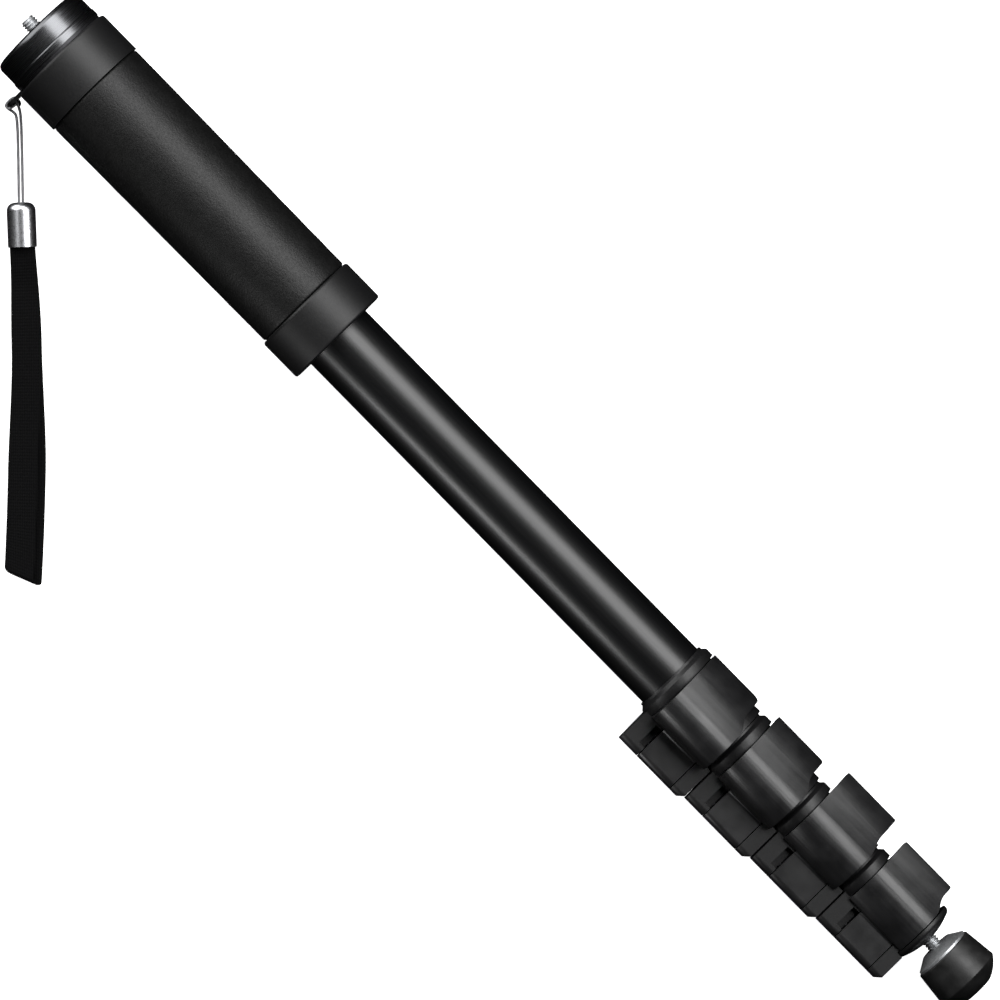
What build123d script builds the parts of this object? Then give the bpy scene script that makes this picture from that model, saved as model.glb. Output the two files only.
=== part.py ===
from build123d import *
from math import asin, cos, degrees, pi, radians, sin, sqrt, tan
import os

# Camera monopod, folded, lying on its side: five telescoping tubes with flip locks
# Origin on the leg's axis, at the face of the camera platform; lengths in mm
# +X out of the head, +Y towards the lock levers' hinges, +Z up

# Fits and clearances
press_fit = 0.04
running_fit = 0.08
part_gap = 0.4
overrun = 1.0

# Tubes, the outermost first; each next one slides in the one before
tube_diameter = 30.0
tube_step = 3.6
tube_wall = 1.1
tube_count = 5
bare_tube_length = 185.8

# Camera platform, its rubber face and the skirt under it
platform_radius = 21.1
platform_thickness = 9.2
platform_edge = 2.4
pad_radius = 17.4
pad_thickness = 1.2
skirt_radius = 21.4
skirt_thickness = 3.4
skirt_edge = 0.8
stud_radius = 3.175
stud_height = 5.5
shank_radius = 4.0
stud_chamfer = 0.6

# Plug in the top tube, with the nut that draws the head together
plug_length = 20.0
nut_across_flats = 11.0
nut_height = 5.4
stud_tail = 2.0

# Strap eyelet, a flat ring clamped under the skirt
eyelet_radius = 21.0
eyelet_thickness = 1.4
eyelet_angle = -20.0
eyelet_reach = 26.8
eye_radius = 1.7
eyelet_tab_radius = 3.6

# Grip
collar_radius = 22.7
collar_length = 18.6
collar_edge = 1.2
foam_radius_top = 22.2
foam_radius_low = 21.6
foam_length = 117.2
foam_edge = 2.6
end_ring_length = 18.8
end_ring_edge = 1.2

# Flip locks, one at the lower end of each tube but the last
cap_length = 5.8
cap_wall = 2.6
cap_chamfer = 2.4
socket_depth = 12.0
socket_wall = 1.0
lock_wall = 2.1
guide_fit = 0.2
lug_reach_over_tube = 18.2
lug_height = 6.5
lug_corner = 3.0
lug_nose = 3.5
lug_gusset_share = (0.6, 0.8)
lug_end_chamfer = 2.4
lug_top = 3.2
lug_head_length = 6.6
lug_foot_length = 6.1
pocket_insets = (4.4, 13.9)
pocket_floor = 2.2
pin_inset = 6.5
pin_radius = 1.5
root_insets = (7.0, 3.7)
root_blend = 1.4

# Lever: a hollow arched plate from the shoulder over its crest to the finger tab,
# on a root that ends in a cam. Insets are from the lugs' outer face
lever_top = 6.2
lever_width = 28.4
lever_wall = 2.0
lever_gap = 0.3
shoulder_inset = 15.0
shoulder_edge = 1.2
crest_insets = (25.2, 26.4, 27.4, 27.0)
crown_radius = 12.2
crown_angles = (28.0, 30.0, 33.5, 35.0)
face_insets = (36.9, 39.4, 42.1, 41.0)
face_angles = (27.0, 29.0, 29.5, 29.5)
tip_angles = (70.0, 62.0, 50.0, 38.0)
bend_inset = 34.0
tab_inset = 43.0
tab_narrowings = (3.6, 3.6, 2.0, 3.0)
tab_overhangs = (2.8, 5.6, 11.6, 10.5)
tab_corners = (3.0, 1.6, 0.8, 0.8)
tab_head_corner = 0.8
arm_bottom = 5.2
cam_radius = 5.9
cam_offset = 0.3
cam_gap = 0.2

# Clamp shoe, pressed on the inner tube by the cam
shoe_height = 9.2
shoe_inset = 1.25
shoe_gap = 0.2

# Guide bushes at the top of the sliding tubes
nest_top = 44.0
bush_length = 30.0
bush_lip = 1.2

# Foot
end_cap_radius = 13.7
end_cap_thickness = 5.0
end_cap_face_radius = 4.0
end_cap_rise = 3.0
end_cap_edge = 2.0
spigot_length = 16.0
rod_radius = 3.175
rod_embed = 12.0
rod_to_sole = 1.3
spike_length = 9.0
spike_tip_radius = 0.6
screw_pitch = 1.27
foot_turns = 3
washer_height = 4.0
washer_radius_top = 6.8
washer_radius = 11.8
washer_rim = 0.9
foot_length = 19.8
foot_radius_top = 12.6
foot_radius_low = 14.1
foot_edge = 0.6
sole_dome_radius = 16.8
sole_flat_radius = 6.8
insert_radius = 6.0
insert_length = 12.0
sole_hole_radius = 3.6

# Wrist strap: thin cord, ferrule and folded webbing, lying beside the leg
strap_heading = 137.7
ferrule_top_x = -43.2
ferrule_top_y = 52.0
ferrule_radius = 5.7
ferrule_length = 17.6
ferrule_dome = 3.2
ferrule_bore = 1.6
cord_diameter = 1.1
strand_spacing = 1.54
webbing_width = 12.0
webbing_mouth_width = 10.0
webbing_thickness = 1.2
webbing_length = 131.0
webbing_fold_height = 4.4
webbing_settle = 16.0
webbing_tuck = 6.0
webbing_slit = 0.4

# Worked out: tube radii and the places along the leg, from the head down
tube_radii = [(tube_diameter - n * tube_step) / 2 for n in range(tube_count)]
platform_low = -platform_thickness
skirt_low = platform_low - skirt_thickness
eyelet_low = skirt_low - eyelet_thickness
collar_low = eyelet_low - collar_length
foam_low = collar_low - foam_length
end_ring_low = foam_low - end_ring_length
lock_pitch = lever_top + lever_width + part_gap
root_length = lever_width - sum(root_insets)
shoe_length = root_length - 2 * shoe_inset
lock_tops = [end_ring_low - bare_tube_length - n * lock_pitch for n in range(tube_count)]
end_cap_low = lock_tops[-1] - end_cap_thickness
foot_travel = screw_pitch * foot_turns
washer_top = end_cap_low - foot_travel - cam_gap
foot_top = washer_top - washer_height
sole = foot_top - foot_length
floor = -collar_radius

os.makedirs("parts", exist_ok=True)
parts = []


def finish(piece, name):
    """Label a finished piece and write it."""
    piece.part.label = name
    export_step(piece.part, f"parts/{name}.step")
    parts.append(piece.part)


# Head: stud, face pad, platform, skirt, eyelet, plug and nut
head_bore = shank_radius + press_fit

with BuildPart() as stud:
    with BuildSketch(Plane.YZ):
        Circle(stud_radius)
    extrude(amount=stud_height)
    chamfer(stud.faces().sort_by(Axis.X)[-1].edges(), stud_chamfer)
    with BuildSketch(Plane.YZ):
        Circle(shank_radius)
    extrude(amount=eyelet_low - plug_length - nut_height - stud_tail)
finish(stud, "camera_stud")

with BuildPart() as pad:
    with BuildSketch(Plane.YZ):
        Circle(pad_radius)
        Circle(head_bore, mode=Mode.SUBTRACT)
    extrude(amount=-pad_thickness)
finish(pad, "platform_pad")

with BuildPart() as platform:
    with BuildSketch(Plane.YZ):
        Circle(platform_radius)
    extrude(amount=-platform_thickness)
    fillet(platform.faces().sort_by(Axis.X)[-1].edges(), platform_edge)
    with BuildSketch(Plane.YZ):
        Circle(pad_radius + press_fit)
    extrude(amount=-pad_thickness, mode=Mode.SUBTRACT)
    with BuildSketch(Plane.YZ):
        Circle(head_bore)
    extrude(amount=-platform_thickness, mode=Mode.SUBTRACT)
finish(platform, "camera_platform")

with BuildPart() as skirt:
    with BuildSketch(Plane.YZ.offset(platform_low)):
        Circle(skirt_radius)
    extrude(amount=-skirt_thickness)
    fillet(skirt.faces().sort_by(Axis.X)[-1].edges(), skirt_edge)
    with BuildSketch(Plane.YZ.offset(platform_low)):
        Circle(head_bore)
    extrude(amount=-skirt_thickness, mode=Mode.SUBTRACT)
finish(skirt, "platform_skirt")

with BuildPart() as eyelet:
    with BuildSketch(Plane.YZ.offset(skirt_low)):
        Circle(eyelet_radius)
        with PolarLocations(eyelet_reach / 2, 1, start_angle=eyelet_angle):
            Rectangle(eyelet_reach, eyelet_tab_radius * 2)
        with PolarLocations(eyelet_reach, 1, start_angle=eyelet_angle):
            Circle(eyelet_tab_radius)
            Circle(eye_radius, mode=Mode.SUBTRACT)
        Circle(head_bore, mode=Mode.SUBTRACT)
    extrude(amount=-eyelet_thickness)
finish(eyelet, "strap_eyelet")

plug_low = eyelet_low - plug_length
with BuildPart() as plug:
    with BuildSketch(Plane.YZ.offset(eyelet_low)):
        Circle(tube_radii[0] - tube_wall - press_fit)
        Circle(head_bore, mode=Mode.SUBTRACT)
    extrude(amount=-plug_length)
finish(plug, "head_plug")

with BuildPart() as nut:
    with BuildSketch(Plane.YZ.offset(plug_low)):
        RegularPolygon(nut_across_flats / 2, 6, major_radius=False)
        Circle(head_bore, mode=Mode.SUBTRACT)
    extrude(amount=-nut_height)
finish(nut, "head_nut")

# Grip: top collar, foam sleeve and end ring, pushed over the top tube
grip_bore = tube_radii[0] + press_fit

with BuildPart() as collar:
    with BuildSketch(Plane.YZ.offset(eyelet_low)):
        Circle(collar_radius)
    extrude(amount=-collar_length)
    fillet(collar.faces().sort_by(Axis.X)[-1].edges(), collar_edge)
    with BuildSketch(Plane.YZ.offset(eyelet_low)):
        Circle(grip_bore)
    extrude(amount=-collar_length, mode=Mode.SUBTRACT)
finish(collar, "grip_top_collar")

with BuildPart() as foam:
    with BuildSketch(Plane.XY):
        with BuildLine():
            Polyline(
                (collar_low, grip_bore),
                (collar_low, foam_radius_top),
                (foam_low, foam_radius_low),
                (foam_low, grip_bore),
                close=True,
            )
        make_face()
    revolve(axis=Axis.X)
    rims = foam.edges().filter_by(GeomType.CIRCLE)
    outer_rims = [e for e in rims if e.radius > (grip_bore + foam_radius_low) / 2]
    fillet(outer_rims, foam_edge)
finish(foam, "foam_grip")

with BuildPart() as end_ring:
    with BuildSketch(Plane.YZ.offset(foam_low)):
        Circle(collar_radius)
    extrude(amount=-end_ring_length)
    fillet(end_ring.edges().filter_by(GeomType.CIRCLE), end_ring_edge)
    with BuildSketch(Plane.YZ.offset(foam_low)):
        Circle(grip_bore)
    extrude(amount=-end_ring_length, mode=Mode.SUBTRACT)
finish(end_ring, "grip_end_ring")


# Tubes and their guide bushes
def tube_bottom(n):
    """The lower end of a tube: in its lock's socket, or on the end cap."""
    if n == tube_count - 1:
        return lock_tops[n]
    return lock_tops[n] - socket_depth


for n, radius in enumerate(tube_radii):
    top = eyelet_low if n == 0 else -nest_top
    with BuildPart() as tube:
        with BuildSketch(Plane.YZ.offset(top)):
            Circle(radius)
            Circle(radius - tube_wall, mode=Mode.SUBTRACT)
        extrude(amount=tube_bottom(n) - top)
    finish(tube, f"leg_tube_{n + 1}")

for n in range(1, tube_count):
    outer_bore = tube_radii[n - 1] - tube_wall
    with BuildPart() as bush:
        with BuildSketch(Plane.YZ.offset(-nest_top)):
            Circle(outer_bore - running_fit)
            Circle(tube_radii[n] + press_fit, mode=Mode.SUBTRACT)
        extrude(amount=-bush_length)
        with BuildSketch(Plane.YZ.offset(-nest_top)):
            Circle(outer_bore - running_fit)
            Circle(tube_radii[n] - tube_wall, mode=Mode.SUBTRACT)
        extrude(amount=bush_lip)
    finish(bush, f"guide_bush_{n + 1}")


# Flip locks
def plate_shape(n, lug_reach, body_radius, clear_radius):
    """Crest and arcs of lever n's outer profile: crown, long face and tip, in that order.

    An arc is its centre, its radius, and its slopes at both ends. Slopes are in radians
    down towards the tab, and a radius below zero is a hollow arc's.
    """
    slopes = [0] + [radians(angles[n]) for angles in (crown_angles, face_angles, tip_angles)]
    crest_y = lug_reach - crest_insets[n]
    face_start = crest_y - crown_radius * sin(slopes[1])
    ends = (crest_y, face_start, lug_reach - face_insets[n], -body_radius - tab_overhangs[n])
    arcs = []
    drop = 0
    crest_z = 0
    steps = 30
    outer = clear_radius + lever_wall
    for y, end_y, slope, end_slope in zip(ends, ends[1:], slopes, slopes[1:]):
        radius = (y - end_y) / (sin(end_slope) - sin(slope))
        centre = (y + radius * sin(slope), drop + radius * cos(slope))
        arcs.append((centre, radius, slope, end_slope))
        # The crest is as low as lets the plate's underside clear the lock's body
        for k in range(steps + 1):
            here = slope + (end_slope - slope) * k / steps
            here_y = y - radius * (sin(here) - sin(slope))
            here_drop = drop + radius * (cos(slope) - cos(here))
            if abs(here_y) < outer:
                crest_z = max(crest_z, here_drop + sqrt(outer**2 - here_y**2))
        drop += radius * (cos(slope) - cos(end_slope))
    return crest_y, crest_z, [((y, crest_z - low), *bend) for (y, low), *bend in arcs]


def plate_arc(arc, inset=0):
    """One arc of a lever's profile, or the same arc an inset under it."""
    centre, radius, slope, end_slope = arc
    from_top = 90 if radius > 0 else -90
    turn = degrees(end_slope - slope)
    return CenterArc(centre, abs(radius - inset), degrees(slope) + from_top, turn)


def make_lock(n):
    """Body, lever, pin and shoe of the lock at the lower end of tube n."""
    top = lock_tops[n]
    last = n == tube_count - 2
    lock_length = lock_pitch - part_gap
    cap_radius = tube_radii[n] + cap_wall
    next_cap_radius = end_cap_radius if last else tube_radii[n + 1] + cap_wall
    inner_radius = tube_radii[n + 1]
    bore = inner_radius + guide_fit
    body_radius = bore + lock_wall
    socket = tube_radii[n] + press_fit
    sleeve_radius = socket + socket_wall
    lug_reach = inner_radius + lug_reach_over_tube
    pin_y = lug_reach - pin_inset
    root_start = top - lever_top - root_insets[0]
    head_lug_top = top - lug_top
    foot_lug_top = root_start - root_length - part_gap
    foot_lug_low = foot_lug_top - lug_foot_length
    shoe_outer = pin_y - cam_radius - cam_offset - cam_gap
    shoe_start = root_start - shoe_inset

    with BuildPart() as body:
        with BuildSketch(Plane.YZ.offset(top)):
            Circle(cap_radius)
        extrude(amount=-cap_length)
        chamfer(body.faces().sort_by(Axis.X)[-1].edges(), cap_chamfer)
        with BuildSketch(Plane.YZ.offset(top)):
            Circle(sleeve_radius)
        extrude(amount=-socket_depth)
        with BuildSketch(Plane.YZ.offset(top)):
            Circle(body_radius)
        extrude(amount=-lock_length)
        # Hinge lugs: square on top, with a gusset under them that runs out from the body
        head_lug_length = head_lug_top - root_start - part_gap
        for start, length in ((head_lug_top, head_lug_length), (foot_lug_top, lug_foot_length)):
            with BuildSketch(Plane.YZ.offset(start)):
                with BuildLine():
                    Polyline(
                        (lug_reach, lug_height - lug_corner),
                        (lug_reach, -lug_nose),
                        (body_radius * lug_gusset_share[0], -body_radius * lug_gusset_share[1]),
                        (0, 0),
                        (0, lug_height),
                        (lug_reach - lug_corner, lug_height),
                    )
                    RadiusArc(
                        (lug_reach - lug_corner, lug_height),
                        (lug_reach, lug_height - lug_corner),
                        lug_corner,
                    )
                make_face()
            extrude(amount=-length)
        # Outer corner of the foot-side lug cut off
        with BuildSketch(Plane.XY):
            with BuildLine():
                Polyline(
                    (foot_lug_low, lug_reach - lug_end_chamfer),
                    (foot_lug_low + lug_end_chamfer, lug_reach),
                    (foot_lug_low, lug_reach),
                    close=True,
                )
            make_face()
        extrude(amount=lug_height, both=True, mode=Mode.SUBTRACT)
        # Pocket in the head-side lug, open towards the lever's root
        pocket_outer, pocket_inner = (lug_reach - inset for inset in pocket_insets)
        with BuildSketch(Plane.XY.offset(pocket_floor)):
            with Locations((head_lug_top - lug_head_length, pocket_outer)):
                Rectangle(
                    head_lug_length,
                    pocket_outer - pocket_inner,
                    align=(Align.MAX, Align.MAX),
                )
        extrude(amount=lug_height, mode=Mode.SUBTRACT)
        # The next lock's cap, or the end cap, comes up under the foot-side lug
        with BuildSketch(Plane.YZ.offset(top - lock_length)):
            Circle(next_cap_radius + part_gap)
        extrude(amount=-lock_pitch, mode=Mode.SUBTRACT)
        # Socket for the outer tube, guide for the inner one
        with BuildSketch(Plane.YZ.offset(top)):
            Circle(socket)
        extrude(amount=-socket_depth, mode=Mode.SUBTRACT)
        with BuildSketch(Plane.YZ.offset(top)):
            Circle(bore)
        extrude(amount=-lock_length, mode=Mode.SUBTRACT)
        # Window for the clamp shoe
        with BuildSketch(Plane.YZ.offset(shoe_start + shoe_gap)):
            with Locations((pin_y / 2, 0)):
                Rectangle(pin_y, shoe_height + 2 * shoe_gap)
        extrude(amount=-(shoe_length + 2 * shoe_gap), mode=Mode.SUBTRACT)
        # Pin hole
        with BuildSketch(Plane.YZ.offset(top)):
            with Locations((pin_y, 0)):
                Circle(pin_radius + press_fit)
        extrude(amount=-2 * lock_pitch, mode=Mode.SUBTRACT)
    finish(body, f"lock_body_{n + 1}")

    with BuildPart() as pin:
        with BuildSketch(Plane.YZ.offset(head_lug_top)):
            with Locations((pin_y, 0)):
                Circle(pin_radius)
        extrude(amount=foot_lug_low - head_lug_top)
    finish(pin, f"lever_pin_{n + 1}")

    # Lever plate: solid under its crest, then hollowed to an even wall between two ends
    clear_radius = sleeve_radius + lever_gap
    crest_y, crest_z, arcs = plate_shape(n, lug_reach, body_radius, clear_radius)
    crown, face, tip = arcs
    tip_y = -body_radius - tab_overhangs[n]
    t = lever_wall
    plate_start = top - lever_top
    plate_bottom = lug_height + part_gap
    shoulder_y = lug_reach - shoulder_inset
    shoulder_run = shoulder_y - crest_y
    shoulder_drop = min(shoulder_run, crest_z - plate_bottom - shoulder_edge)
    shoulder_radius = (shoulder_run**2 + shoulder_drop**2) / (2 * shoulder_drop)
    shoulder_turn = degrees(asin(shoulder_run / shoulder_radius))
    shoulder_centre = (crest_y, crest_z - shoulder_radius)
    with BuildPart() as lever:
        with BuildSketch(Plane.YZ.offset(plate_start)):
            with BuildLine():
                plate_arc(crown)
                plate_arc(face)
                tip_top = plate_arc(tip)
                tip_under = plate_arc(tip, t)
                shoulder = CenterArc(shoulder_centre, shoulder_radius, 90, -shoulder_turn)
                Polyline(shoulder @ 1, (shoulder_y, plate_bottom), (0, plate_bottom), tip_under @ 0)
                Line(tip_under @ 1, tip_top @ 1)
            make_face()
        extrude(amount=-lever_width)
        with BuildSketch(Plane.YZ.offset(plate_start)):
            Circle(clear_radius)
        extrude(amount=-lever_width, mode=Mode.SUBTRACT)
        with BuildSketch(Plane.YZ.offset(plate_start - t)):
            with BuildLine():
                plate_arc(crown, t)
                roof = plate_arc(face, t)
                wall = CenterArc(shoulder_centre, shoulder_radius - t, 90, -shoulder_turn)
                wall_foot = wall @ 1
                Polyline(
                    wall_foot,
                    (wall_foot.X, plate_bottom - overrun),
                    (0, plate_bottom - overrun),
                    roof @ 1,
                )
            make_face()
        hollow_length = lever_width - tab_narrowings[n] - 2 * t
        extrude(amount=-hollow_length, mode=Mode.SUBTRACT)
        # Seen from above, the foot-side edge bends in from the root's width to the tab's
        wide_x = plate_start - lever_width
        tab_x = wide_x + tab_narrowings[n]
        bend_y = lug_reach - bend_inset
        tab_start_y = lug_reach - tab_inset
        middle = ((wide_x + tab_x) / 2, (bend_y + tab_start_y) / 2)
        with BuildSketch(Plane.XY):
            with BuildLine():
                TangentArc((wide_x, bend_y), middle, tangent=(0, -1))
                TangentArc((tab_x, tab_start_y), middle, tangent=(0, 1))
                Polyline(
                    (tab_x, tab_start_y),
                    (tab_x, tip_y - overrun),
                    (wide_x - overrun, tip_y - overrun),
                    (wide_x - overrun, bend_y),
                    (wide_x, bend_y),
                )
            make_face()
        extrude(amount=crest_z, both=True, mode=Mode.SUBTRACT)
        # Rounded corners of the tab: the two short edges of its end face
        cross_edges = [e for e in lever.edges().filter_by(GeomType.LINE) if (e % 0).X**2 < 0.5]
        corner_edges = ShapeList(cross_edges).sort_by(Axis.Y)[:2].sort_by(Axis.X)
        fillet(corner_edges[0], tab_corners[n])
        cross_edges = [e for e in lever.edges().filter_by(GeomType.LINE) if (e % 0).X**2 < 0.5]
        fillet(ShapeList(cross_edges).sort_by(Axis.Y)[:3].sort_by(Axis.X)[-1], tab_head_corner)
        # Root between the lugs: an arm from the shoulder to the cam round the pin
        with BuildSketch(Plane.YZ.offset(root_start)):
            with BuildLine():
                Polyline(
                    (lug_reach, lug_height - lug_corner),
                    (lug_reach, 0),
                    (pin_y, 0),
                    (shoe_outer, arm_bottom),
                    (shoulder_y - t / 2, arm_bottom),
                    (shoulder_y - t, plate_bottom),
                    (shoulder_y - t, lug_height + root_blend),
                    (shoulder_y, lug_height + root_blend),
                )
                RadiusArc(
                    (shoulder_y, lug_height + root_blend),
                    (shoulder_y + root_blend, lug_height),
                    -root_blend,
                )
                Line((shoulder_y + root_blend, lug_height), (lug_reach - lug_corner, lug_height))
                RadiusArc(
                    (lug_reach - lug_corner, lug_height),
                    (lug_reach, lug_height - lug_corner),
                    lug_corner,
                )
            make_face()
            with Locations((pin_y - cam_offset, 0)):
                Circle(cam_radius)
            with Locations((pin_y, 0)):
                Circle(pin_radius + running_fit, mode=Mode.SUBTRACT)
        extrude(amount=-root_length)
    finish(lever, f"lock_lever_{n + 1}")

    with BuildPart() as shoe:
        with BuildSketch(Plane.YZ.offset(shoe_start)):
            with Locations((shoe_outer / 2, 0)):
                Rectangle(shoe_outer, shoe_height)
            Circle(inner_radius + running_fit, mode=Mode.SUBTRACT)
        extrude(amount=-shoe_length)
    finish(shoe, f"clamp_shoe_{n + 1}")


for n in range(tube_count - 1):
    make_lock(n)

# Foot: end cap, threaded rod with its spike, washer, insert and rubber foot
inner_bore = tube_radii[-1] - tube_wall
with BuildPart() as end_cap:
    with BuildSketch(Plane.XY):
        with BuildLine():
            Polyline(
                (end_cap_low, end_cap_face_radius),
                (end_cap_low, 0),
                (lock_tops[-1] + spigot_length, 0),
                (lock_tops[-1] + spigot_length, inner_bore - press_fit),
                (lock_tops[-1], inner_bore - press_fit),
                (lock_tops[-1], end_cap_radius),
                (end_cap_low + end_cap_rise, end_cap_radius),
            )
            dome_radius = (end_cap_radius**2 + end_cap_rise**2) / (2 * end_cap_rise)
            RadiusArc(
                (end_cap_low + end_cap_rise, end_cap_radius),
                (end_cap_low, end_cap_face_radius),
                -dome_radius,
            )
        make_face()
    revolve(axis=Axis.X)
    rims = end_cap.edges().filter_by(GeomType.CIRCLE).filter_by(Plane.YZ)
    fillet(rims.group_by(Axis.X)[1], end_cap_edge)
    with BuildSketch(Plane.YZ.offset(end_cap_low)):
        Circle(rod_radius + press_fit)
    extrude(amount=rod_embed, mode=Mode.SUBTRACT)
finish(end_cap, "leg_end_cap")

rod_top = end_cap_low + rod_embed
spike_tip = sole + rod_to_sole
with BuildPart() as rod:
    with BuildSketch(Plane.XY):
        with BuildLine():
            Polyline(
                (rod_top, 0),
                (rod_top, rod_radius),
                (spike_tip + spike_length, rod_radius),
                (spike_tip, spike_tip_radius),
                (spike_tip, 0),
                close=True,
            )
        make_face()
    revolve(axis=Axis.X)
finish(rod, "spike_rod")

with BuildPart() as washer:
    with BuildSketch(Plane.XY):
        with BuildLine():
            Polyline(
                (washer_top, rod_radius + running_fit),
                (washer_top, washer_radius_top),
                (foot_top + washer_rim, washer_radius),
                (foot_top, washer_radius),
                (foot_top, rod_radius + running_fit),
                close=True,
            )
        make_face()
    revolve(axis=Axis.X)
finish(washer, "foot_washer")

with BuildPart() as insert:
    with BuildSketch(Plane.YZ.offset(foot_top)):
        Circle(insert_radius)
        Circle(rod_radius + running_fit, mode=Mode.SUBTRACT)
    extrude(amount=-insert_length)
finish(insert, "foot_insert")

# The sole is a shallow dome round a flat ring, with the spike's hole in it
dome_depth = sqrt(sole_dome_radius**2 - sole_flat_radius**2)
dome_start = sole + dome_depth - sqrt(sole_dome_radius**2 - foot_radius_low**2)
with BuildPart() as foot:
    with BuildSketch(Plane.XY):
        with BuildLine():
            Polyline(
                (sole, sole_flat_radius),
                (sole, sole_hole_radius),
                (foot_top - insert_length, sole_hole_radius),
                (foot_top - insert_length, insert_radius + press_fit),
                (foot_top, insert_radius + press_fit),
                (foot_top, foot_radius_top),
                (dome_start, foot_radius_low),
            )
            RadiusArc((dome_start, foot_radius_low), (sole, sole_flat_radius), -sole_dome_radius)
        make_face()
    revolve(axis=Axis.X)
    rims = foot.edges().filter_by(GeomType.CIRCLE).filter_by(Plane.YZ)
    outer_rims = [e for e in rims if e.radius > (foot_radius_top + insert_radius) / 2]
    fillet(outer_rims, foot_edge)
finish(foot, "rubber_foot")

# Strap: ferrule and webbing lie on the surface, along the strap's heading
heading = radians(strap_heading)
along = Vector(cos(heading), sin(heading), 0)
across = Vector(sin(heading), -cos(heading), 0)
ferrule_height = floor + ferrule_radius
ferrule_top = Vector(ferrule_top_x, ferrule_top_y, ferrule_height)
ferrule_mouth = ferrule_top + along * ferrule_length

with BuildPart() as ferrule:
    with BuildSketch(Plane(origin=ferrule_mouth, z_dir=-along)):
        Circle(ferrule_radius)
    extrude(amount=ferrule_length)
    dome_rim = ferrule.edges().filter_by(GeomType.CIRCLE).sort_by_distance(ferrule_top)[0]
    fillet(dome_rim, ferrule_dome)
    with BuildSketch(Plane(origin=ferrule_top, z_dir=along, x_dir=across)):
        SlotCenterToCenter(cord_diameter * 2, ferrule_bore * 2)
    extrude(amount=ferrule_length / 2, mode=Mode.SUBTRACT)
    with BuildSketch(Plane(origin=ferrule_mouth, z_dir=-along, x_dir=(0, 0, 1))):
        Rectangle(webbing_thickness * 2 + webbing_slit + part_gap, ferrule_radius * 2 - part_gap)
    extrude(amount=webbing_tuck + part_gap, mode=Mode.SUBTRACT)
finish(ferrule, "strap_ferrule")

# Webbing: one band, out along the surface, round its fold and back on top
low = ferrule_radius - webbing_slit / 2
high = ferrule_radius + webbing_slit / 2
fold_start = webbing_length - webbing_fold_height / 2
fold = webbing_fold_height
t = webbing_thickness
strap_side = Plane(
    origin=(ferrule_mouth.X, ferrule_mouth.Y, floor), x_dir=along, z_dir=across
)
with BuildPart() as webbing:
    with BuildSketch(strap_side):
        with BuildLine():
            Polyline(
                (-webbing_tuck, low),
                (-webbing_tuck, low - t),
                (0, low - t),
                (webbing_settle, 0),
                (fold_start, 0),
            )
            ThreePointArc((fold_start, 0), (webbing_length, fold / 2), (fold_start, fold))
            Polyline(
                (fold_start, fold),
                (webbing_settle, fold),
                (0, high + t),
                (-webbing_tuck, high + t),
                (-webbing_tuck, high),
                (0, high),
                (webbing_settle, fold - t),
                (fold_start, fold - t),
            )
            ThreePointArc(
                (fold_start, fold - t), (webbing_length - t, fold / 2), (fold_start, t)
            )
            Polyline(
                (fold_start, t),
                (webbing_settle, t),
                (0, low),
                (-webbing_tuck, low),
            )
        make_face()
    extrude(amount=webbing_width / 2, both=True)
    # Drawn in where it enters the ferrule
    with BuildSketch(Plane(origin=ferrule_mouth, x_dir=along, z_dir=(0, 0, 1))):
        for side in (1, -1):
            with BuildLine():
                Polyline(
                    (-webbing_tuck - overrun, side * webbing_mouth_width / 2),
                    (0, side * webbing_mouth_width / 2),
                    (webbing_settle * 2, side * webbing_width / 2),
                    (webbing_settle * 2, side * webbing_width),
                    (-webbing_tuck - overrun, side * webbing_width),
                    close=True,
                )
            make_face()
    extrude(amount=ferrule_radius * 2, both=True, mode=Mode.SUBTRACT)
finish(webbing, "strap_webbing")

# Cord: up from the ferrule, through the eye, round the tab's rim and back
def on_tab(x, radius):
    """A point beside the eyelet's tab, at a radius from the leg's axis."""
    turn = radians(eyelet_angle)
    return Vector(x, radius * cos(turn), radius * sin(turn))


strand = across * (strand_spacing / 2)
cord_tuck = along * (ferrule_length / 2 - cord_diameter)
cord_points = [
    ferrule_top + cord_tuck - strand,
    ferrule_top - strand,
    Vector(-31.1, 39.4, -14.3),
    on_tab(-17.4, 27.2),
    on_tab(-11.4, 27.4),
    on_tab(-11.4, 31.6),
    on_tab(-16.6, 32.0),
    Vector(-19.4, 30.2, -11.3),
    Vector(-30.1, 40.5, -14.1),
    ferrule_top + strand,
    ferrule_top + cord_tuck + strand,
]
arc_share = 0.45
cord_radii = []
for before, corner, after in zip(cord_points, cord_points[1:], cord_points[2:]):
    run_in = corner - before
    run_out = after - corner
    half_turn = radians(run_in.get_angle(run_out)) / 2
    cord_radii.append(arc_share * min(run_in.length, run_out.length) / tan(half_turn))
print("cord radii, mm:", [round(r, 1) for r in cord_radii])

with BuildPart() as cord:
    with BuildLine() as cord_path:
        FilletPolyline(*cord_points, radius=cord_radii)
    with BuildSketch(Plane(origin=cord_points[0], z_dir=cord_points[1] - cord_points[0])):
        Circle(cord_diameter / 2)
    sweep(path=cord_path.wires()[0])
finish(cord, "strap_cord")
cord_length = cord_path.wires()[0].length
section_area = pi * (cord_diameter / 2) ** 2
print("cord length, mm:", round(cord_length, 1))
print("cord volume, section x length:", cord.part.volume, section_area * cord_length)
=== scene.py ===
from math import cos, pi, radians, sin, sqrt

import bpy
from mathutils import Matrix, Vector, noise


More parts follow.
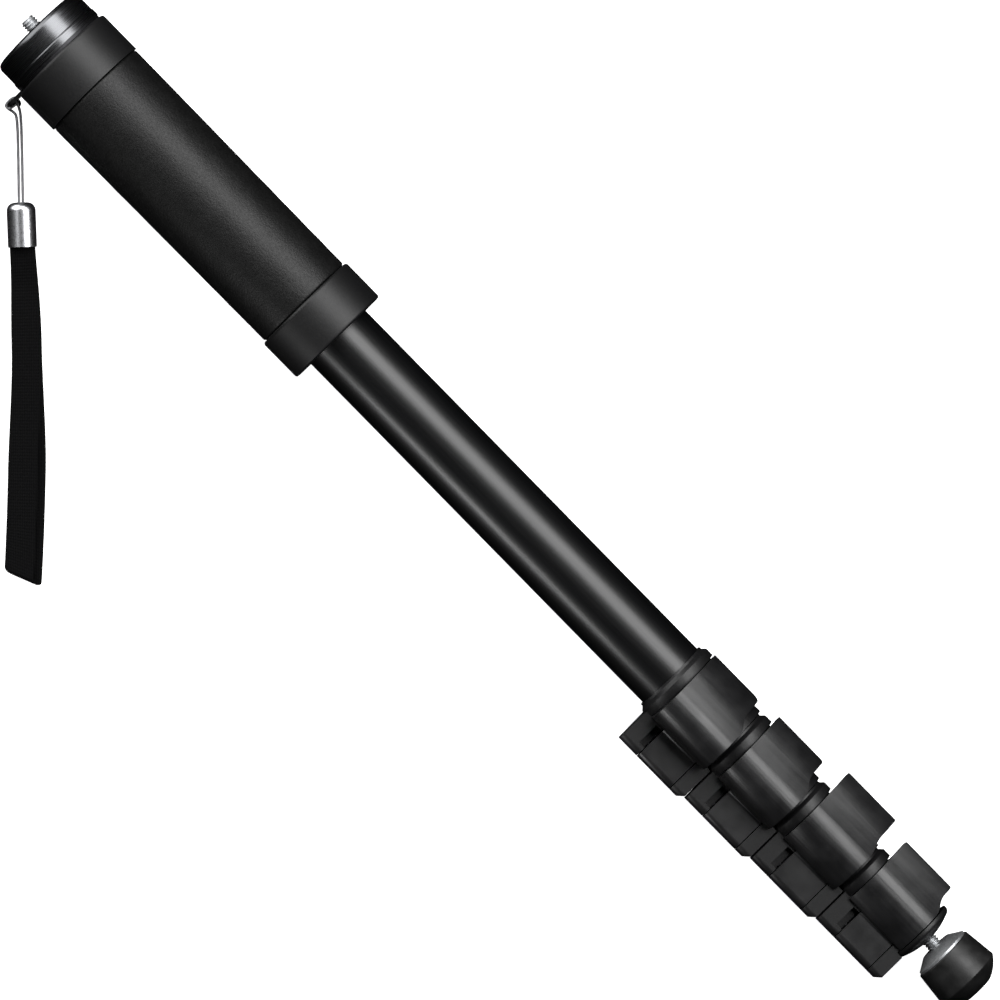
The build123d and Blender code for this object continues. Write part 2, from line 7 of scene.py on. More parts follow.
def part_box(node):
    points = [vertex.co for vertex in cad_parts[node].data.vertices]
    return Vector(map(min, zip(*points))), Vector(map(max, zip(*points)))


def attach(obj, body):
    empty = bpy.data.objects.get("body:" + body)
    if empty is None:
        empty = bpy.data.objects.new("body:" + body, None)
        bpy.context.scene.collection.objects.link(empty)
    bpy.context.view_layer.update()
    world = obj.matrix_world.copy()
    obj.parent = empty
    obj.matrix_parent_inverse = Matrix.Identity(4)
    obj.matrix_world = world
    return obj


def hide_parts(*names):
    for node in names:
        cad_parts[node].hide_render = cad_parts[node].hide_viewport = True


# Folded camera monopod on a pale studio floor. Lengths in metres, +X out of the head, +Z up.
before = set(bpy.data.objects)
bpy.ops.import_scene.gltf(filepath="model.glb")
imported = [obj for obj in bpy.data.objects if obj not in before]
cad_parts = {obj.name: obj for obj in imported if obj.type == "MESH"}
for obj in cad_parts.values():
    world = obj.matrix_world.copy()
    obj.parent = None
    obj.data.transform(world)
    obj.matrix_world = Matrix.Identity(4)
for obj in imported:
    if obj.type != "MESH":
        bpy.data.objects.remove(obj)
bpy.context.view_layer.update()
mm = 0.001
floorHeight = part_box("grip_end_ring")[0].z
print("frame loaded,", len(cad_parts), "parts")

# The camera comes first: the cord has to lie within its picture
camera = {
    "sight": Vector((-0.2585, -0.0006, 0)),  # the middle of the picture falls here on the leg
    "field": 0.3919,  # width of the picture at the leg's axis
    "distance": 3.0,
    "lean": 1.27,  # degrees, towards the head
    "turn": 134.45,  # degrees, from the leg's axis to the picture's right-hand side
    "sensor": 36,
    "clip": (0.05, 30),
}


def placeCamera():
    data = bpy.data.cameras.new("photoCamera")
    data.sensor_width = camera["sensor"]
    data.lens = camera["sensor"] * camera["distance"] / camera["field"]
    data.clip_start, data.clip_end = camera["clip"]
    eye = bpy.data.objects.new("photoCamera", data)
    bpy.context.scene.collection.objects.link(eye)
    lean = Matrix.Rotation(radians(camera["lean"]), 4, "Y")
    turn = Matrix.Rotation(radians(-camera["turn"]), 4, "Z")
    back = lean @ Vector((0, 0, camera["distance"]))
    eye.matrix_world = Matrix.Translation(camera["sight"] + back) @ lean @ turn
    bpy.context.scene.camera = eye


placeCamera()


# Mesh helpers
def newPiece(name, points, faces, body, look, smooth=True):
    mesh = bpy.data.meshes.new(name)
    mesh.from_pydata(points, [], faces)
    mesh.validate()
    piece = bpy.data.objects.new(name, mesh)
    bpy.context.scene.collection.objects.link(piece)
    if smooth:
        mesh.shade_smooth()
    mesh.materials.append(finishes[look])
    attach(piece, body)
    return piece


def spunGrid(rows, around, place):
    # Closed skin of rows of points around the leg's axis, each end closed by one point
    points = [place(row, 2 * pi * step / around) for row in range(rows) for step in range(around)]
    faces = []
    for row in range(rows - 1):
        for step in range(around):
            after = (step + 1) % around
            a, b = row * around + step, row * around + after
            faces.append((a, b, b + around, a + around))
    first = sum((Vector(p) for p in points[:around]), Vector()) / around
    last = sum((Vector(p) for p in points[-around:]), Vector()) / around
    points += [first, last]
    for step in range(around):
        after = (step + 1) % around
        faces.append((len(points) - 2, after, step))
        end = (rows - 1) * around
        faces.append((len(points) - 1, end + step, end + after))
    return points, faces


def onAxis(x, radius, angle):
    return Vector((x, radius * cos(angle), radius * sin(angle)))


# Material helpers
def toLinear(hexColour):
    channels = [int(hexColour[place:place + 2], 16) / 255 for place in (1, 3, 5)]
    linear = [c / 12.92 if c <= 0.04045 else ((c + 0.055) / 1.055) ** 2.4 for c in channels]
    return (*linear, 1.0)


def addNode(tree, kind, settings=None, values=None, links=None):
    node = tree.nodes.new(kind)
    for name, value in (settings or {}).items():
        setattr(node, name, value)
    for name, value in (values or {}).items():
        node.inputs[name].default_value = value
    for name, source in (links or {}).items():
        tree.links.new(source, node.inputs[name])
    return node


def startMaterial(name, look):
    material = bpy.data.materials.new(name)
    material.use_nodes = True
    tree = material.node_tree
    tree.nodes.clear()
    values = {
        "Base Color": toLinear(look["colour"]),
        "Roughness": look["roughness"],
        "Metallic": look.get("metallic", 0.0),
    }
    if "ior" in look:
        values["IOR"] = look["ior"]
    if "specular" in look:
        values["Specular IOR Level"] = look["specular"]
    if "glow" in look:
        values["Emission Color"] = toLinear(look["colour"])
        values["Emission Strength"] = look["glow"]
    shader = addNode(tree, "ShaderNodeBsdfPrincipled", values=values)
    addNode(tree, "ShaderNodeOutputMaterial", links={"Surface": shader.outputs["BSDF"]})
    place = addNode(tree, "ShaderNodeTexCoord").outputs["Object"]
    return material, tree, shader, place


noiseSpan = (0.3, 0.7)  # the part of its range that a noise really fills
waveSpan = (0.1, 0.9)
waveUnit = 0.314  # pitch of a wave texture at scale 1


def grain(tree, place, size, stretch=(1, 1, 1), detail=2.0):
    # Noise whose grains are size metres across, drawn out along the axes that stretch names
    mapped = addNode(
        tree,
        "ShaderNodeMapping",
        values={"Scale": [1 / (size * part) for part in stretch]},
        links={"Vector": place},
    )
    return addNode(
        tree,
        "ShaderNodeTexNoise",
        values={"Scale": 1.0, "Detail": detail},
        links={"Vector": mapped.outputs["Vector"]},
    ).outputs["Fac"]


def varyColour(tree, shader, factor, tones, span=noiseSpan):
    ramp = addNode(tree, "ShaderNodeValToRGB", links={"Fac": factor})
    for stop, position, tone in zip(ramp.color_ramp.elements, span, tones):
        stop.position = position
        stop.color = toLinear(tone)
    tree.links.new(ramp.outputs["Color"], shader.inputs["Base Color"])


def varyRoughness(tree, shader, factor, ends):
    spread = addNode(
        tree,
        "ShaderNodeMapRange",
        values={
            "From Min": noiseSpan[0],
            "From Max": noiseSpan[1],
            "To Min": ends[0],
            "To Max": ends[1],
        },
        links={"Value": factor},
    )
    tree.links.new(spread.outputs["Result"], shader.inputs["Roughness"])


def addBump(tree, shader, height, depth):
    bump = addNode(
        tree,
        "ShaderNodeBump",
        values={"Strength": 1.0, "Distance": depth},
        links={"Height": height},
    )
    tree.links.new(bump.outputs["Normal"], shader.inputs["Normal"])


# Looks. Fine is the grain of the surface itself, broad the slow drift of its tone, each with the
# width of its marks; tones and roughs are the two ends that they move between; bump is a depth.
# A pixel is 0.4 mm: drawn, spun and turned lines are finer, and are drawn as coarse as that.
looks = {
    # Leg tubes: drawn, so fine lines run along them under a glossy dyed skin
    "blackAnodisedAluminium": {
        "colour": "#050506",
        "roughness": 0.34,
        "ior": 1.6,
        "fine": {"size": 0.35 * mm, "stretch": (90, 1, 1)},
        "broad": {"size": 14 * mm},
        "tones": ("#040405", "#070708"),
        "roughs": (0.31, 0.37),
        "bump": 0.004 * mm,
    },
    # Grip rings and plug: spark-eroded mould grain of about 0.4 mm, so satin and even
    "satinMouldedAbs": {
        "colour": "#080809",
        "roughness": 0.5,
        "ior": 1.53,
        "fine": {"size": 0.45 * mm, "detail": 3.0},
        "broad": {"size": 9 * mm},
        "tones": ("#060607", "#0a0a0b"),
        "roughs": (0.46, 0.55),
        "bump": 0.03 * mm,
    },
    # Levers: glass-filled nylon from a polished mould, a smooth skin with faint flow clouds
    "semiGlossNylon": {
        "colour": "#151516",
        "roughness": 0.38,
        "ior": 1.62,
        "fine": {"size": 0.5 * mm, "detail": 3.0},
        "broad": {"size": 7 * mm},
        "tones": ("#121213", "#181819"),
        "roughs": (0.35, 0.42),
        "roughBy": "broad",
        "bump": 0.008 * mm,
    },
    # Lock bodies, ribs and end cap: the same nylon where the mould is grained, so duller
    "grainedNylon": {
        "colour": "#0d0d0e",
        "roughness": 0.46,
        "ior": 1.53,
        "fine": {"size": 0.5 * mm, "detail": 3.0},
        "broad": {"size": 8 * mm},
        "tones": ("#0b0b0c", "#101011"),
        "roughs": (0.42, 0.52),
        "bump": 0.03 * mm,
    },
    # Grip: closed cells of about 0.7 mm, cut and skived, so matte with a soft mottle
    "evaFoam": {
        "colour": "#090909",
        "roughness": 0.48,
        "ior": 1.44,
        "fine": {"size": 0.75 * mm, "detail": 4.0},
        "broad": {"size": 3.2 * mm, "detail": 3.0},
        "tones": ("#060606", "#0e0e0e"),
        "roughs": (0.42, 0.55),
        "bump": 0.12 * mm,
    },
    # Platform and skirt: plated over turned metal, a dark mirror with spun lines round it
    "blackChrome": {
        "colour": "#67686a",
        "roughness": 0.28,
        "metallic": 1.0,
        "fine": {"size": 0.3 * mm, "stretch": (1, 60, 60)},
        "tones": ("#636466", "#6c6d6f"),
        "roughs": (0.25, 0.31),
        "bump": 0.002 * mm,
    },
    # Ferrule: plated over tumbled brass, so its highlight spreads
    "satinChrome": {
        "colour": "#d4d5d8",
        "roughness": 0.3,
        "metallic": 1.0,
        "fine": {"size": 0.4 * mm, "detail": 3.0},
        "tones": ("#cbccd0", "#dddee1"),
        "roughs": (0.26, 0.34),
        "bump": 0.003 * mm,
    },
    # Stud, rod, washer and nut: plated in a barrel, dull and bright grey
    "zincPlatedSteel": {
        "colour": "#d0d2d4",
        "roughness": 0.5,
        "metallic": 1.0,
        "fine": {"size": 0.6 * mm, "detail": 3.0},
        "tones": ("#c4c6c8", "#dcdee0"),
        "roughs": (0.45, 0.58),
        "bump": 0.006 * mm,
    },
    # Eyelet: blackened strip, blanked and tumbled, so dark with worn lines
    "tumbledSteel": {
        "colour": "#3c3c3e",
        "roughness": 0.45,
        "metallic": 1.0,
        "fine": {"size": 0.3 * mm, "stretch": (1, 20, 1)},
        "tones": ("#353537", "#444446"),
        "roughs": (0.4, 0.52),
    },
    # Hinge pins: ground steel, its colour painted dark as the shade in the lugs' slots, with a low
    # shine
    "pinSteelPaintedShade": {
        "colour": "#2b2b2d",
        "roughness": 0.38,
        "metallic": 1.0,
        "fine": {"size": 0.5 * mm, "detail": 3.0},
        "tones": ("#242426", "#333335"),
        "roughs": (0.32, 0.46),
    },
    # Guide bushes: turned from rod, white and waxy with lines round them
    "naturalAcetal": {
        "colour": "#dddbd2",
        "roughness": 0.42,
        "ior": 1.48,
        "fine": {"size": 0.4 * mm, "stretch": (1, 20, 20)},
        "tones": ("#d6d4ca", "#e3e1d9"),
        "bump": 0.006 * mm,
    },
    # Clamp shoes: cut from rod and waxy, coloured dark as painted shade where they show through the
    # gaps beside the levers' roots
    "shoeAcetalPaintedShade": {
        "colour": "#0c0c0d",
        "roughness": 0.5,
        "ior": 1.48,
        "fine": {"size": 0.4 * mm, "stretch": (1, 20, 20)},
        "tones": ("#0a0a0b", "#101011"),
        "bump": 0.006 * mm,
    },
    # Insert of the rubber foot: turned, bright yellow with lines round it
    "turnedBrass": {
        "colour": "#c8a25c",
        "roughness": 0.3,
        "metallic": 1.0,
        "fine": {"size": 0.3 * mm, "stretch": (1, 40, 40)},
        "tones": ("#bd9750", "#d2ad68"),
        "roughs": (0.24, 0.36),
    },
    # Foot and the head's pad: pressed in a blasted mould, matte with a dusty bloom
    "mouldedRubber": {
        "colour": "#101010",
        "roughness": 0.5,
        "ior": 1.52,
        "fine": {"size": 0.6 * mm, "detail": 3.0},
        "broad": {"size": 5 * mm, "detail": 3.0},
        "tones": ("#101010", "#1a1a1a"),
        "roughs": (0.42, 0.56),
        "roughBy": "broad",
        "bump": 0.02 * mm,
    },
}


def makeFinish(name, look):
    material, tree, shader, place = startMaterial(name, look)
    grains = {"fine": grain(tree, place, **look["fine"])}
    grains["broad"] = grain(tree, place, **look["broad"]) if "broad" in look else grains["fine"]
    varyColour(tree, shader, grains["broad"], look["tones"])
    if "roughs" in look:
        varyRoughness(tree, shader, grains[look.get("roughBy", "fine")], look["roughs"])
    if "bump" in look:
        addBump(tree, shader, grains["fine"], look["bump"])
    return material


# Looks of cloth and cord: yarns side by side, one pitch apart, with edges wavy by distortion.
# The webbing's weft ribs are in its mesh.
yarnLooks = {
    # Webbing: woven, warp yarns along the band, matte under a fine fuzz
    "wovenNylon": {
        "colour": "#050506",
        "roughness": 0.8,
        "specular": 0.08,
        "direction": "Y",
        "heading": 135.5,  # degrees, along the band
        "pitch": 0.9 * mm,
        "distortion": 0.6,
        "fuzz": {"size": 0.3 * mm, "detail": 4.0},
        "tones": ("#030304", "#090909"),
        "roughs": (0.74, 0.88),
        "bump": 0.08 * mm,
    },
    # Cord: plaited, mid grey with a slight shine on each yarn
    "braidedNylon": {
        "colour": "#77777a",
        "roughness": 0.5,
        "ior": 1.53,
        "direction": "DIAGONAL",
        "heading": 0,
        "pitch": 0.7 * mm,
        "distortion": 1.0,
        "tones": ("#666669", "#88888b"),
        "roughs": (0.42, 0.6),
        "bump": 0.06 * mm,
    },
}


def makeYarnFinish(name, look):
    material, tree, shader, place = startMaterial(name, look)
    mapped = addNode(
        tree,
        "ShaderNodeMapping",
        settings={"vector_type": "TEXTURE"},
        values={"Rotation": (0, 0, radians(look["heading"]))},
        links={"Vector": place},
    )
    yarns = addNode(
        tree,
        "ShaderNodeTexWave",
        settings={"bands_direction": look["direction"]},
        values={
            "Scale": waveUnit / look["pitch"],
            "Distortion": look["distortion"],
            "Detail": 1.0,
        },
        links={"Vector": mapped.outputs["Vector"]},
    ).outputs["Fac"]
    sheen = grain(tree, place, **look["fuzz"]) if "fuzz" in look else yarns
    varyColour(tree, shader, yarns, look["tones"], waveSpan)
    varyRoughness(tree, shader, sheen, look["roughs"])
    addBump(tree, shader, yarns, look["bump"])
    return material


finishes = {name: makeFinish(name, look) for name, look in looks.items()}
finishes.update({name: makeYarnFinish(name, look) for name, look in yarnLooks.items()})
print("materials ready")

# Look of each part, and of the parts that share the start of a name
partLook = {
    "camera_platform": "blackChrome",
    "platform_skirt": "blackChrome",
    "platform_pad": "mouldedRubber",
    "strap_eyelet": "tumbledSteel",
    "head_plug": "satinMouldedAbs",
    "head_nut": "zincPlatedSteel",
    "grip_top_collar": "satinMouldedAbs",
    "grip_end_ring": "satinMouldedAbs",
    "strap_ferrule": "satinChrome",
    "leg_end_cap": "grainedNylon",
    "foot_washer": "zincPlatedSteel",
    "foot_insert": "turnedBrass",
    "rubber_foot": "mouldedRubber",
}
groupLook = {
    "leg_tube_": "blackAnodisedAluminium",
    "guide_bush_": "naturalAcetal",
    "lock_body_": "grainedNylon",
    "lock_lever_": "semiGlossNylon",
    # Hinge pins take a dark colour that paints the shade in the lugs' slots
    "lever_pin_": "pinSteelPaintedShade",
    # Clamp shoes take a dark colour that paints the shade in the gaps beside the levers' roots
    "clamp_shoe_": "shoeAcetalPaintedShade",
}
softEdge = {
    "weld": 0.002 * mm,
    "width": 0.35 * mm,
    "steps": 3,
    "fromAngle": 35,  # degrees between two faces
}


def softenEdges(node):
    # Moulded edges: the facets' shared corners are joined, then the sharp edges rounded
    weld = node.modifiers.new("joinedFacets", "WELD")
    weld.merge_threshold = softEdge["weld"]
    bevel = node.modifiers.new("mouldedEdges", "BEVEL")
    bevel.width = softEdge["width"]
    bevel.segments = softEdge["steps"]
    bevel.limit_method = "ANGLE"
    bevel.angle_limit = radians(softEdge["fromAngle"])
    bevel.harden_normals = True


for name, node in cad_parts.items():
    look = partLook.get(name)
    for start, shared in groupLook.items():
        if name.startswith(start):
            look = shared
    if look:
        node.data.materials.clear()
        node.data.materials.append(finishes[look])
    if name.startswith(("lock_lever_", "lock_body_")):
        softenEdges(node)
print("parts finished")

# Rib that carries the head-side lug's lower edge on below the gap beside the lever's root.
# Along is from the body's top, inward from the hinge pin; clear is kept free round the pin.
gapRib = {
    "along": (12.2 * mm, 14.8 * mm),
    "inward": (8.9 * mm, 4.4 * mm),
    "thickness": 1.2 * mm,
    "clear": 8.4 * mm,
    "nose": 3.5 * mm,  # depth of the lug's lower edge at its tip
    "foot": (0.6, 0.8),  # where that edge meets the body, as shares of its radius
    "bodies": ["upper_leg", "section_2", "section_3", "section_4"],
}
boxFaces = [(0, 1, 3, 2), (4, 6, 7, 5), (0, 4, 5, 1), (2, 3, 7, 6), (0, 2, 6, 4), (1, 5, 7, 3)]


def makeRibs():
    rib = gapRib
    for order, body in enumerate(rib["bodies"], 1):
        low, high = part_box(f"lock_body_{order}")
        pinLow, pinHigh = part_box(f"lever_pin_{order}")
        pin = (pinLow.y + pinHigh.y) / 2
        footY, footZ = -low.z * rib["foot"][0], low.z * rib["foot"][1]
        points = []
        for along in rib["along"]:
            for inward in rib["inward"]:
                y = pin - inward
                edge = -rib["nose"] + (footZ + rib["nose"]) * (high.y - y) / (high.y - footY)
                free = -sqrt(max(0, rib["clear"] ** 2 - inward**2))
                top = min(edge + rib["thickness"], free)
                points += [(high.x - along, y, top - rib["thickness"]), (high.x - along, y, top)]
        name = f"gapRib{order}"
        newPiece(name, points, boxFaces, body, "grainedNylon", smooth=False)


makeRibs()

# Wrist cord: one strand from inside the ferrule up through the eyelet's tab and back
strapCord = {"diameter": 1.1 * mm, "length": 0.102, "order": 3, "steps": 16, "rounding": 4}
cordRoute = [
    (-0.0494, 0.0566, -0.0170),
    (-0.0437, 0.0514, -0.0170),
    (-0.0309, 0.0390, -0.0143),
    (-0.0190, 0.0277, -0.0103),
    (-0.0155, 0.0258, -0.0094),
    (-0.0125, 0.0252, -0.0092),
    (-0.0117, 0.0285, -0.0104),
    (-0.0134, 0.0298, -0.0109),
    (-0.0163, 0.0290, -0.0106),
    (-0.0186, 0.0294, -0.0108),
    (-0.0300, 0.0402, -0.0141),
    (-0.0427, 0.0526, -0.0170),
    (-0.0484, 0.0578, -0.0170),
]


def drawCord(name, route):
    curve = bpy.data.curves.new(name, "CURVE")
    curve.dimensions = "3D"
    spline = curve.splines.new("NURBS")
    spline.points.add(len(route) - 1)
    for point, place in zip(spline.points, route):
        point.co = (*place, 1)
    spline.order_u = strapCord["order"]
    spline.use_endpoint_u = True
    spline.resolution_u = strapCord["steps"]
    curve.bevel_depth = strapCord["diameter"] / 2
    curve.bevel_resolution = strapCord["rounding"]
    curve.use_fill_caps = True
    curve.materials.append(finishes["braidedNylon"])
    piece = bpy.data.objects.new(name, curve)
    bpy.context.scene.collection.objects.link(piece)
    return piece


def makeCord():
    piece = drawCord("wristCord", cordRoute)
    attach(piece, "upper_leg")
    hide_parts("strap_cord")
    return piece


# The hitch: the cord's own bight drawn tight round the eyelet's tab. Each point is the place
# along the leg, the distance from its axis and the step to the side, in mm.
hitch = {
    "tabTurn": -20,  # degrees, of the tab round the leg from +Y towards +Z
    "wrap": [
        (-14.7, 27.5, 1.4),
        (-14.6, 30.6, 1.3),
        (-13.3, 31.3, 1.2),
        (-12.0, 30.6, 1.1),
        (-12.0, 27.0, 0.8),
        (-13.3, 26.3, 0.65),
        (-15.0, 26.5, 0.9),
        (-15.8, 27.2, 1.4),
    ],
    "crossing": (-16.0, 27.4, 0),
}


def makeHitch():
    turn = radians(hitch["tabTurn"])
    outward = Vector((0, cos(turn), sin(turn)))
    across = Vector((0, -sin(turn), cos(turn)))
    steps = hitch["wrap"] + [hitch["crossing"]]
    steps += [(x, radius, -side) for x, radius, side in reversed(hitch["wrap"])]
    route = [
        (Vector((x, 0, 0)) + outward * radius + across * side) * mm for x, radius, side in steps
    ]
    drawn = drawCord("hitchCurve", route)
    bpy.context.view_layer.update()
    mesh = bpy.data.meshes.new_from_object(drawn)
    bpy.data.objects.remove(drawn)
    mesh.name = "cordHitch"
    piece = bpy.data.objects.new("cordHitch", mesh)
    bpy.context.scene.collection.objects.link(piece)
    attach(piece, "upper_leg")


wristCord = makeCord()
makeHitch()

# Threads: stud in the head, rod in the foot; 1/4 inch, 20 to the inch
thread = {
    "major": 3.175 * mm,
    "minor": 2.5 * mm,
    "pitch": 1.27 * mm,
    "steepness": 1.25,  # a peaked ridge is 1, and more cuts a flat on the crest
    "rootFlat": 0.05,
    "runOut": 0.6,  # as a share of the pitch
    "around": 48,
    "rowsEach": 10,
}
stud = {"shank": 4 * mm, "tipInset": 0.02 * mm}
rod = {"spike": 9 * mm, "tipRadius": 0.6 * mm, "coneSteps": 5}


def threadRadius(x, angle, top, low):
    # Ridge that climbs one pitch a turn, run out towards both ends
    phase = (x / thread["pitch"] + angle / (2 * pi)) % 1
    ridge = thread["steepness"] * (1 - abs(2 * phase - 1)) - thread["rootFlat"]
    fade = thread["runOut"] * thread["pitch"]
    runOut = min(1, (top - x) / fade, (x - low) / fade)
    depth = thread["major"] - thread["minor"]
    return thread["minor"] + depth * min(1, max(0, ridge)) * max(0, runOut)


def makeStud():
    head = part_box("camera_stud")
    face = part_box("camera_platform")[1].x
    tip, low = head[1].x, head[0].x
    rows = [tip - stud["tipInset"]]
    steps = int((tip - face) / thread["pitch"] * thread["rowsEach"])
    rows += [tip - (tip - face) * step / steps for step in range(1, steps + 1)]

    def place(row, angle):
        if row < len(rows):
            return onAxis(rows[row], threadRadius(rows[row], angle, tip, face), angle)
        return onAxis(face if row == len(rows) else low, stud["shank"], angle)

    points, faces = spunGrid(len(rows) + 2, thread["around"], place)
    piece = newPiece("studThread", points, faces, "upper_leg", "zincPlatedSteel")
    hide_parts("camera_stud")


def makeRod():
    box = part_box("spike_rod")
    top, tip = box[1].x, box[0].x
    coneStart = tip + rod["spike"]
    steps = int((top - coneStart) / thread["pitch"] * thread["rowsEach"])
    rows = [top - (top - coneStart) * step / steps for step in range(steps + 1)]

    def place(row, angle):
        if row < len(rows):
            return onAxis(rows[row], threadRadius(rows[row], angle, top, coneStart), angle)
        share = (row - len(rows)) / rod["coneSteps"]
        radius = thread["major"] + (rod["tipRadius"] - thread["major"]) * share
        return onAxis(coneStart + (tip - coneStart) * share, radius, angle)

    points, faces = spunGrid(len(rows) + rod["coneSteps"] + 1, thread["around"], place)
    piece = newPiece("rodThread", points, faces, "section_5", "zincPlatedSteel")
    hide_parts("spike_rod")


makeStud()
makeRod()
print("threads cut")

# Foam grip: skived sleeve with rounded ends, its surface slightly uneven
foam = {
    "bore": 15.04 * mm,  # radius
    "taper": 0.6 * mm,  # on the radius, from the head end to the other
    "edge": 1.3 * mm,
    "edgeStep": 15,  # degrees
    "step": 0.8 * mm,
    "around": 200,
    "unevenness": (7 * mm, 0.16 * mm),  # width and height of the swells
    "cells": (1.3 * mm, 0.05 * mm),  # and of the finer bumps
}


def foamProfile():
    # Distance along the leg and radius, from the bore at the head end round to the other end
    low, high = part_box("foam_grip")
    topRadius = high.y
    lowRadius = topRadius - foam["taper"]
    edge = foam["edge"]
    profile = [(high.x, foam["bore"])]
    for turn in range(0, 91, foam["edgeStep"]):
        bend = radians(turn)
        profile.append((high.x - edge * (1 - cos(bend)), topRadius - edge * (1 - sin(bend))))
    length = high.x - low.x - 2 * edge
    steps = int(length / foam["step"])
    for step in range(1, steps):
        share = step / steps
        radius = topRadius + (lowRadius - topRadius) * share
        profile.append((high.x - edge - length * share, radius))
    for turn in range(90, -1, -foam["edgeStep"]):
        bend = radians(turn)
        profile.append((low.x + edge * (1 - cos(bend)), lowRadius - edge * (1 - sin(bend))))
    profile.append((low.x, foam["bore"]))
    return profile


def makeFoam():
    profile = foamProfile()
    broadWidth, broadHeight = foam["unevenness"]
    cellWidth, cellHeight = foam["cells"]
    rows, around = len(profile), foam["around"]
    points = []
    for row, (x, radius) in enumerate(profile):
        for step in range(around):
            angle = 2 * pi * step / around
            point = onAxis(x, radius, angle)
            if 0 < row < rows - 1:
                broad = noise.noise(point / broadWidth) * broadHeight
                cells = noise.noise(point / cellWidth) * cellHeight
                point = onAxis(x, radius - broadHeight / 2 + broad / 2 + cells, angle)
            points.append(point)
    faces = []
    for row in range(rows):
        here, below = row * around, (row + 1) % rows * around
        for step in range(around):
            after = (step + 1) % around
            faces.append((here + step, here + after, below + after, below + step))
    piece = newPiece("foamSleeve", points, faces, "upper_leg", "evaFoam")
    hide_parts("foam_grip")


makeFoam()
print("foam sleeve made")

# Webbing loop: out along the floor from the ferrule, round its fold and back on top
ferrule = {"heading": 137.7, "top": (-0.0432, 0.0520), "radius": 5.7 * mm, "length": 17.6 * mm}
webbing = {
    "width": 11.8 * mm,
    "mouthWidth": 10.0 * mm,  # where the ferrule holds it
    "thickness": 1.1 * mm,
    "length": 0.131,  # from the ferrule's mouth to the fold
    "tuck": 6 * mm,  # up into the ferrule
    "settle": 18 * mm,  # from the mouth to lying flat
    "foldHeight": 4.2 * mm,
    "mouthGap": 0.4 * mm,  # between the layers in the mouth
    "floorGap": 0.05 * mm,
    "heading": 138.6,  # degrees, at the mouth
    "turn": 6.2,  # degrees, over the whole length
    "fan": 1.5 * mm,  # each layer's step to its side, over these shares of the length
    "fanOver": (0.3, 0.68),
    "skew": -0.37,  # slant of the fold
    "skewOver": (0.8, 1.0),
    "ribPitch": 1.25 * mm,
    "ribDepth": 0.07 * mm,
    "edgeThickness": 0.35,  # as a share of the thickness in the middle
    "squareness": 12,  # of the band's section
    "step": 0.25 * mm,
    "foldSteps": 14,
    "around": 28,
}


def smoothShare(value, start=0, end=1):
    share = min(1, max(0, (value - start) / (end - start)))
    return share * share * (3 - 2 * share)


def onBend(flat, lateral):
    # Place in plan of a point flat metres out along the bent band and lateral to its side
    lay = webbing
    start = radians(lay["heading"])
    rate = radians(lay["turn"]) / lay["length"]
    here = start - rate * flat
    x = -(sin(here) - sin(start)) / rate
    y = (cos(here) - cos(start)) / rate
    return Vector((x + sin(here) * lateral, y - cos(here) * lateral, 0))


def bandPath():
    # Centre line of the band seen from its side: distance from the ferrule's mouth, height above
    # the floor, and layer, from -1 on the floor to 1 on top
    lay = webbing
    lowMiddle = lay["thickness"] / 2
    topMiddle = lay["foldHeight"] - lay["thickness"] / 2
    bend = (topMiddle - lowMiddle) / 2
    turnStart = lay["length"] - lay["thickness"] / 2 - bend
    mouthLow = ferrule["radius"] - lay["mouthGap"] / 2 - lay["thickness"] / 2
    mouthHigh = ferrule["radius"] + lay["mouthGap"] / 2 + lay["thickness"] / 2
    run = int((turnStart + lay["tuck"]) / lay["step"])
    path = []
    for step in range(run + 1):
        along = -lay["tuck"] + (turnStart + lay["tuck"]) * step / run
        share = smoothShare(along, end=lay["settle"])
        path.append((along, mouthLow + (lowMiddle - mouthLow) * share, -1))
    for step in range(1, lay["foldSteps"]):
        turn = pi * step / lay["foldSteps"]
        along = turnStart + bend * sin(turn)
        path.append((along, lowMiddle + bend * (1 - cos(turn)), -cos(turn)))
    for step in range(run, -1, -1):
        along = -lay["tuck"] + (turnStart + lay["tuck"]) * step / run
        share = smoothShare(along, end=lay["settle"])
        path.append((along, mouthHigh + (topMiddle - mouthHigh) * share, 1))
    return path


def halfThickness(travelled, reach):
    # Half the band's thickness: weft ribs along it, thinner towards its edges
    lay = webbing
    rib = lay["ribDepth"] * (cos(2 * pi * travelled / lay["ribPitch"]) - 1)
    edge = sqrt(max(0, 1 - (2 * abs(reach)) ** lay["squareness"]))
    return (lay["thickness"] / 2 + rib) * (lay["edgeThickness"] + (1 - lay["edgeThickness"]) * edge)


def bandPoints(path):
    # Ring of points round the band's section at each place of the path, from the mouth's middle
    lay = webbing
    around = lay["around"]
    section = around // 2
    travelled = 0
    points = []
    for place, (along, height, layer) in enumerate(path):
        ahead = path[min(place + 1, len(path) - 1)]
        behind = path[max(place - 1, 0)]
        tangent = Vector((ahead[0] - behind[0], ahead[1] - behind[1]))
        tangent.normalize()
        outward = Vector((tangent.y, -tangent.x))
        travelled += (Vector((along, height)) - Vector(behind[:2])).length
        grow = smoothShare(along, end=2 * lay["settle"])
        width = lay["mouthWidth"] + (lay["width"] - lay["mouthWidth"]) * grow
        share = along / lay["length"]
        fan = layer * lay["fan"] * smoothShare(share, *lay["fanOver"])
        skew = lay["skew"] * smoothShare(share, *lay["skewOver"])
        for step in range(around):
            face = 1 if step < section else -1
            reach = (step % section / (section - 1) - 0.5) * face
            lateral = reach * width + fan
            thick = halfThickness(travelled, reach) * face
            flat = along + lateral * skew + outward.x * thick
            up = max(height + outward.y * thick, lay["floorGap"])
            points.append(onBend(flat, lateral) + Vector((0, 0, up)))
    return points


